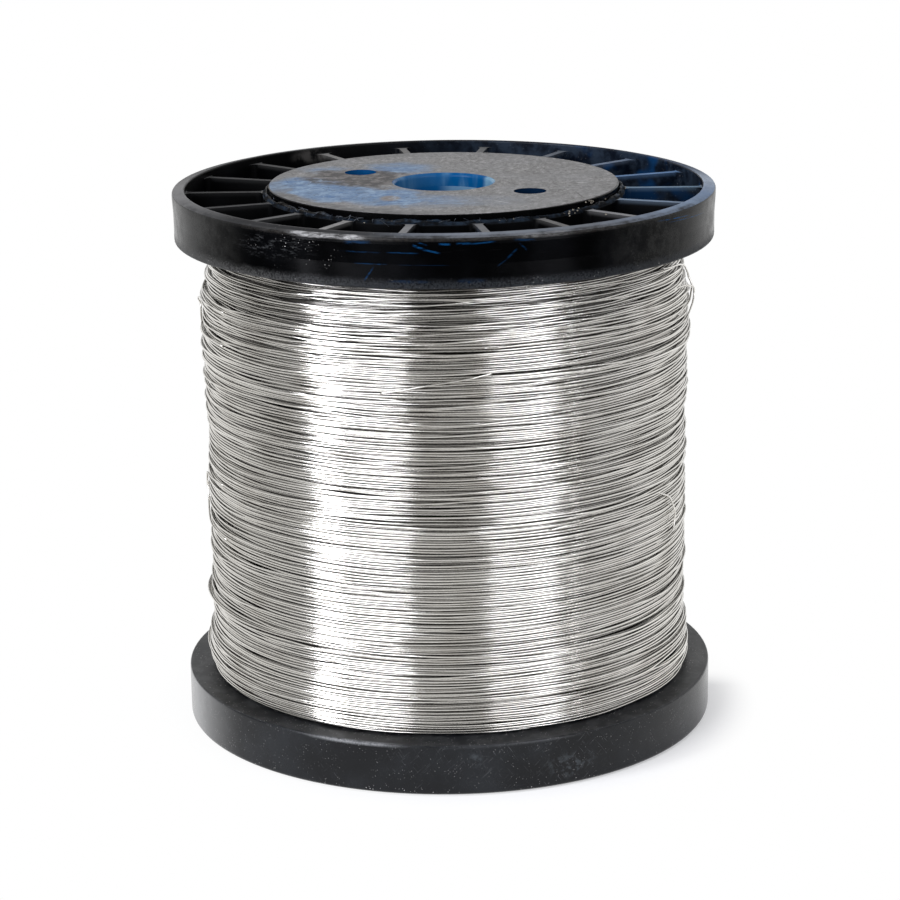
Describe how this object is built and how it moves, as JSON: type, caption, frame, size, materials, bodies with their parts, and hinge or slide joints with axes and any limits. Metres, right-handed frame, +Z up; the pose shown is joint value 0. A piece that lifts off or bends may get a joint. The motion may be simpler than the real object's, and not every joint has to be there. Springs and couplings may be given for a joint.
{
  "type": "wire spool",
  "caption": "Ribbed black plastic spool with a central arbor bore and drive holes, wound with stainless steel wire.",
  "frame": {"origin": "centre of the face that the spool stands on, on its axis", "axes": "+Z up the spool's axis; the drive holes lie 34.5 degrees clockwise of +X and opposite"},
  "size_m": [0.2008, 0.2008, 0.2034],
  "materials": {
    "flange_plastic": "moulded black plastic, scuffed and dusty, worn grey on its edges",
    "disc_plastic": "matte grey-black plastic with blue stains and fine scratches",
    "barrel_plastic": "moulded black plastic",
    "stainless_wire": "drawn stainless steel wire, bright with a satin sheen"
  },
  "bodies": {
    "root": {"lower_flange": "flange_plastic", "upper_flange": "flange_plastic", "lower_hub_disc": "disc_plastic", "upper_hub_disc": "disc_plastic", "barrel": "barrel_plastic", "wire_coil": "stainless_wire"}
  },
  "joints": []
}
